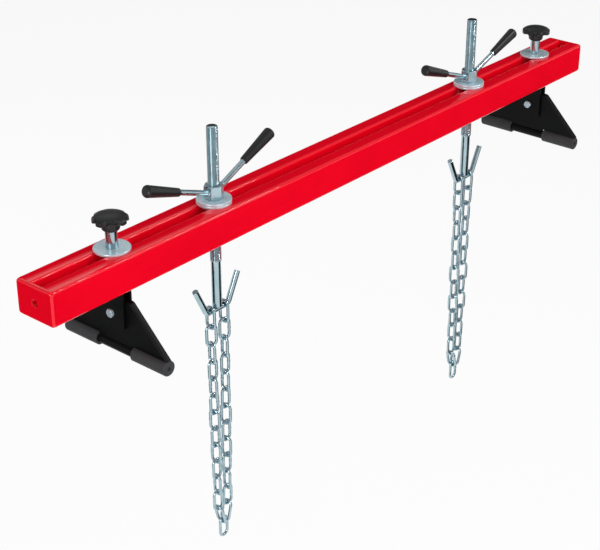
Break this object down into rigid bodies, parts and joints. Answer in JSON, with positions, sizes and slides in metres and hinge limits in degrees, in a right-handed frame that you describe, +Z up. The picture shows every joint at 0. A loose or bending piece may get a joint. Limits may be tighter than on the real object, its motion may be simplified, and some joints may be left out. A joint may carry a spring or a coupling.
{
  "type": "engine support bar",
  "caption": "Slotted beam that bridges an engine bay on sliding, tilting feet; screw spindles with handle nuts lift an engine by chains hung on double hooks.",
  "frame": {"origin": "centre of the beam's length and width, in the plane that the rubber feet rest on", "axes": "+X along the beam, +Z up, -Y towards the side that the picture shows"},
  "size_m": [1.5, 0.232, 0.8223],
  "materials": {
    "red_paint": "gloss",
    "black_paint": "satin",
    "zinc_plate": "bright zinc",
    "black_plastic": "satin",
    "black_rubber": "matte"
  },
  "bodies": {
    "beam": {"front_beam_tube": "red_paint", "back_beam_tube": "red_paint", "left_end_plate": "red_paint", "right_end_plate": "red_paint"},
    "left_foot_carriage": {"left_spacer_sleeve": "zinc_plate", "left_foot_washer": "zinc_plate", "left_guide_nut": "zinc_plate", "left_foot_bracket": "black_paint", "left_pivot_bolt": "zinc_plate", "left_pivot_nut": "zinc_plate"},
    "left_stud": {"left_clamp_stud": "zinc_plate"},
    "left_knob": {"left_star_knob": "black_plastic"},
    "left_foot": {"left_foot_plate": "black_paint", "left_cross_bar": "black_paint", "left_front_rubber_sleeve": "black_rubber", "left_back_rubber_sleeve": "black_rubber"},
    "right_foot_carriage": {"right_spacer_sleeve": "zinc_plate", "right_foot_washer": "zinc_plate", "right_guide_nut": "zinc_plate", "right_foot_bracket": "black_paint", "right_pivot_bolt": "zinc_plate", "right_pivot_nut": "zinc_plate"},
    "right_stud": {"right_clamp_stud": "zinc_plate"},
    "right_knob": {"right_star_knob": "black_plastic"},
    "right_foot": {"right_foot_plate": "black_paint", "right_cross_bar": "black_paint", "right_front_rubber_sleeve": "black_rubber", "right_back_rubber_sleeve": "black_rubber"},
    "left_hook_carriage": {"left_lower_washer": "zinc_plate", "left_upper_washer": "zinc_plate"},
    "left_nut": {"left_handle_nut": "zinc_plate", "left_inner_handle_rod": "zinc_plate", "left_outer_handle_rod": "zinc_plate", "left_inner_grip": "black_plastic", "left_outer_grip": "black_plastic"},
    "left_lift": {"left_spindle": "zinc_plate", "left_double_hook": "zinc_plate"},
    "left_chain_upper": {"left_chain_upper_inner": "zinc_plate", "left_chain_upper_outer": "zinc_plate"},
    "left_chain_middle": {"left_chain_middle_inner": "zinc_plate", "left_chain_middle_outer": "zinc_plate"},
    "left_chain_lower": {"left_chain_lower_inner": "zinc_plate", "left_chain_lower_outer": "zinc_plate"},
    "left_chain_end": {"left_chain_bottom_link": "zinc_plate"},
    "right_hook_carriage": {"right_lower_washer": "zinc_plate", "right_upper_washer": "zinc_plate"},
    "right_nut": {"right_handle_nut": "zinc_plate", "right_inner_handle_rod": "zinc_plate", "right_outer_handle_rod": "zinc_plate", "right_inner_grip": "black_plastic", "right_outer_grip": "black_plastic"},
    "right_lift": {"right_spindle": "zinc_plate", "right_double_hook": "zinc_plate"},
    "right_chain_upper": {"right_chain_upper_inner": "zinc_plate", "right_chain_upper_outer": "zinc_plate"},
    "right_chain_middle": {"right_chain_middle_inner": "zinc_plate", "right_chain_middle_outer": "zinc_plate"},
    "right_chain_lower": {"right_chain_lower_inner": "zinc_plate", "right_chain_lower_outer": "zinc_plate"},
    "right_chain_end": {"right_chain_bottom_link": "zinc_plate"}
  },
  "joints": [
    {"name": "left_foot_slide", "type": "slide", "parent": "beam", "child": "left_foot_carriage", "axis": [1, 0, 0], "range_m": [-0.13, 0.015]},
    {"name": "left_stud_lift", "type": "slide", "parent": "left_foot_carriage", "child": "left_stud", "axis": [0, 0, 1], "range_m": [0, 0.006]},
    {"name": "left_knob_turn", "type": "hinge", "parent": "left_stud", "child": "left_knob", "pos_m": [-0.59, 0, 0.22], "axis": [0, 0, 1], "range_deg": [-5, 1240]},
    {"name": "left_foot_tilt", "type": "hinge", "parent": "left_foot_carriage", "child": "left_foot", "pos_m": [-0.59, 0, 0.077], "axis": [1, 0, 0], "range_deg": [-33, 33]},
    {"name": "right_foot_slide", "type": "slide", "parent": "beam", "child": "right_foot_carriage", "axis": [1, 0, 0], "range_m": [-0.02, 0.095]},
    {"name": "right_stud_lift", "type": "slide", "parent": "right_foot_carriage", "child": "right_stud", "axis": [0, 0, 1], "range_m": [0, 0.006]},
    {"name": "right_knob_turn", "type": "hinge", "parent": "right_stud", "child": "right_knob", "pos_m": [0.625, 0, 0.22], "axis": [0, 0, 1], "range_deg": [-5, 1240]},
    {"name": "right_foot_tilt", "type": "hinge", "parent": "right_foot_carriage", "child": "right_foot", "pos_m": [0.625, 0, 0.077], "axis": [1, 0, 0], "range_deg": [-33, 33]},
    {"name": "left_hook_slide", "type": "slide", "parent": "beam", "child": "left_hook_carriage", "axis": [1, 0, 0], "range_m": [-0.015, 0.2]},
    {"name": "left_nut_turn", "type": "hinge", "parent": "left_hook_carriage", "child": "left_nut", "pos_m": [-0.36, 0, 0.2], "axis": [0, 0, -1], "range_deg": [-14410, 11530]},
    {"name": "left_spindle_lift", "type": "slide", "parent": "left_hook_carriage", "child": "left_lift", "axis": [0, 0, 1], "range_m": [-0.1, 0.08]},
    {"name": "left_chain_swing", "type": "hinge", "parent": "left_lift", "child": "left_chain_upper", "pos_m": [-0.36, 0, -0.0155], "axis": [1, 0, 0], "range_deg": [-45, 45]},
    {"name": "left_chain_middle_swing", "type": "hinge", "parent": "left_chain_upper", "child": "left_chain_middle", "pos_m": [-0.36, 0, -0.15299], "axis": [1, 0, 0], "range_deg": [-45, 45]},
    {"name": "left_chain_lower_swing", "type": "hinge", "parent": "left_chain_middle", "child": "left_chain_lower", "pos_m": [-0.36, 0, -0.29298], "axis": [1, 0, 0], "range_deg": [-45, 45]},
    {"name": "left_bottom_link_swing", "type": "hinge", "parent": "left_chain_lower", "child": "left_chain_end", "pos_m": [-0.36, 0, -0.46682], "axis": [0, 1, 0], "range_deg": [-60, 60]},
    {"name": "right_hook_slide", "type": "slide", "parent": "beam", "child": "right_hook_carriage", "axis": [1, 0, 0], "range_m": [-0.2, 0.02]},
    {"name": "right_nut_turn", "type": "hinge", "parent": "right_hook_carriage", "child": "right_nut", "pos_m": [0.381, 0, 0.2], "axis": [0, 0, -1], "range_deg": [-14410, 11530]},
    {"name": "right_spindle_lift", "type": "slide", "parent": "right_hook_carriage", "child": "right_lift", "axis": [0, 0, 1], "range_m": [-0.1, 0.08]},
    {"name": "right_chain_swing", "type": "hinge", "parent": "right_lift", "child": "right_chain_upper", "pos_m": [0.381, 0, -0.0155], "axis": [1, 0, 0], "range_deg": [-45, 45]},
    {"name": "right_chain_middle_swing", "type": "hinge", "parent": "right_chain_upper", "child": "right_chain_middle", "pos_m": [0.381, 0, -0.15299], "axis": [1, 0, 0], "range_deg": [-45, 45]},
    {"name": "right_chain_lower_swing", "type": "hinge", "parent": "right_chain_middle", "child": "right_chain_lower", "pos_m": [0.381, 0, -0.29298], "axis": [1, 0, 0], "range_deg": [-45, 45]},
    {"name": "right_bottom_link_swing", "type": "hinge", "parent": "right_chain_lower", "child": "right_chain_end", "pos_m": [0.381, 0, -0.46682], "axis": [0, 1, 0], "range_deg": [-60, 60]}
  ],
  "couplings": [
    {"joint": "left_knob_turn", "follows": "left_stud_lift", "rad_per_m": 3590.4},
    {"joint": "right_knob_turn", "follows": "right_stud_lift", "rad_per_m": 3590.4},
    {"joint": "left_nut_turn", "follows": "left_spindle_lift", "rad_per_m": 2513.3},
    {"joint": "right_nut_turn", "follows": "right_spindle_lift", "rad_per_m": 2513.3}
  ]
}
